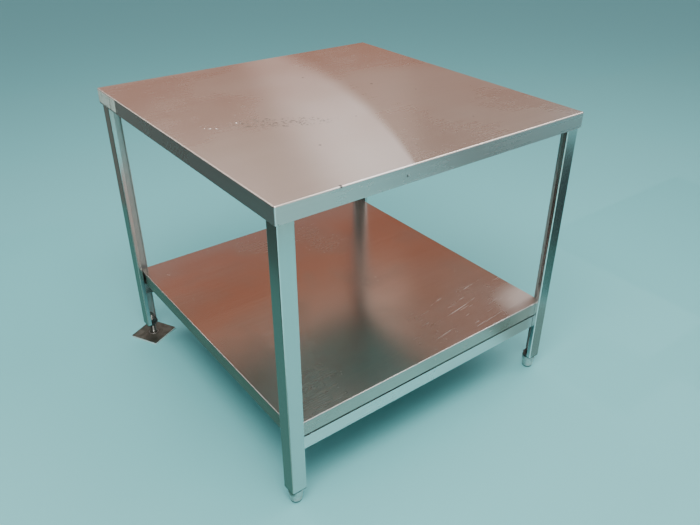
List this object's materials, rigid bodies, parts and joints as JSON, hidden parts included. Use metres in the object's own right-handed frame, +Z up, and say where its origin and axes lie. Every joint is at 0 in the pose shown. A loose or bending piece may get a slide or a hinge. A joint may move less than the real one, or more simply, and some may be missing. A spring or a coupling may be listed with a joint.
{
  "type": "stainless work table",
  "caption": "Square stainless work table: folded worktop with a down-turned apron, lipped-angle legs, lower shelf on rails, screw-adjusted bullet feet and one plate foot.",
  "frame": {"origin": "on the floor, under the middle of the worktop", "axes": "+X along the front edge to the right as seen from the front, -Y towards the front, +Z up"},
  "size_m": [0.9395, 0.9395, 0.806],
  "materials": {
    "worktop_sheet": "satin brushed stainless sheet, worn and scratched",
    "shelf_sheet": "satin stainless sheet, dull with water marks",
    "leg_steel": "satin stainless angle with brighter bends",
    "frame_steel": "mill-finish stainless",
    "fastener_steel": "plain machined stainless",
    "foot_steel": "turned stainless, slightly dulled",
    "plate_steel": "steel plate with brown stain and brighter cut edges",
    "nylon_black": "black nylon",
    "label_film": "blank off-white label film"
  },
  "bodies": {
    "frame": {"top_panel": "worktop_sheet", "top_stiffener_front": "frame_steel", "top_stiffener_rear": "frame_steel", "leg_front_left": "leg_steel", "leg_front_right": "leg_steel", "leg_rear_right": "leg_steel", "leg_rear_left": "leg_steel", "leg_bracket_front_left": "frame_steel", "leg_bracket_front_right": "frame_steel", "leg_bracket_rear_right": "frame_steel", "leg_bracket_rear_left": "frame_steel", "foot_fitting_front_left": "frame_steel", "foot_fitting_front_right": "frame_steel", "foot_fitting_rear_right": "frame_steel", "foot_fitting_rear_left": "frame_steel", "bracket_studs": "fastener_steel", "bracket_nuts": "fastener_steel", "shelf_panel": "shelf_sheet", "shelf_stiffener_front": "frame_steel", "shelf_stiffener_rear": "frame_steel", "rail_front": "leg_steel", "rail_rear": "leg_steel", "shelf_spacers": "nylon_black", "shelf_bolts": "fastener_steel", "shelf_nuts": "fastener_steel", "label_wide": "label_film", "label_small": "label_film"},
    "glide_front_left": {"glide_front_left": "nylon_black"},
    "bullet_front_left": {"bullet_front_left": "foot_steel"},
    "glide_front_right": {"glide_front_right": "nylon_black"},
    "bullet_front_right": {"bullet_front_right": "foot_steel"},
    "glide_rear_right": {"glide_rear_right": "nylon_black"},
    "bullet_rear_right": {"bullet_rear_right": "foot_steel"},
    "foot_plate": {"foot_plate": "plate_steel"},
    "foot_spindle": {"foot_spindle": "foot_steel"}
  },
  "joints": [
    {"name": "level_front_left", "type": "slide", "parent": "frame", "child": "glide_front_left", "axis": [0, 0, -1], "range_m": [-0.0015, 0.025]},
    {"name": "screw_front_left", "type": "hinge", "parent": "glide_front_left", "child": "bullet_front_left", "pos_m": [-0.4245, -0.4245, 0], "axis": [0, 0, -1], "range_deg": [-308.57, 5142.86]},
    {"name": "level_front_right", "type": "slide", "parent": "frame", "child": "glide_front_right", "axis": [0, 0, -1], "range_m": [-0.0015, 0.025]},
    {"name": "screw_front_right", "type": "hinge", "parent": "glide_front_right", "child": "bullet_front_right", "pos_m": [0.4245, -0.4245, 0], "axis": [0, 0, -1], "range_deg": [-308.57, 5142.86]},
    {"name": "level_rear_right", "type": "slide", "parent": "frame", "child": "glide_rear_right", "axis": [0, 0, -1], "range_m": [-0.0015, 0.025]},
    {"name": "screw_rear_right", "type": "hinge", "parent": "glide_rear_right", "child": "bullet_rear_right", "pos_m": [0.4245, 0.4245, 0], "axis": [0, 0, -1], "range_deg": [-308.57, 5142.86]},
    {"name": "level_rear_left", "type": "slide", "parent": "frame", "child": "foot_plate", "axis": [0, 0, -1], "range_m": [-0.015, 0.02]},
    {"name": "screw_rear_left", "type": "hinge", "parent": "foot_plate", "child": "foot_spindle", "pos_m": [-0.4245, 0.4245, 0], "axis": [0, 0, -1], "range_deg": [-2160, 2880]}
  ],
  "couplings": [
    {"joint": "screw_front_left", "follows": "level_front_left", "rad_per_m": 3590.4},
    {"joint": "screw_front_right", "follows": "level_front_right", "rad_per_m": 3590.4},
    {"joint": "screw_rear_right", "follows": "level_rear_right", "rad_per_m": 3590.4},
    {"joint": "screw_rear_left", "follows": "level_rear_left", "rad_per_m": 2513.3}
  ]
}
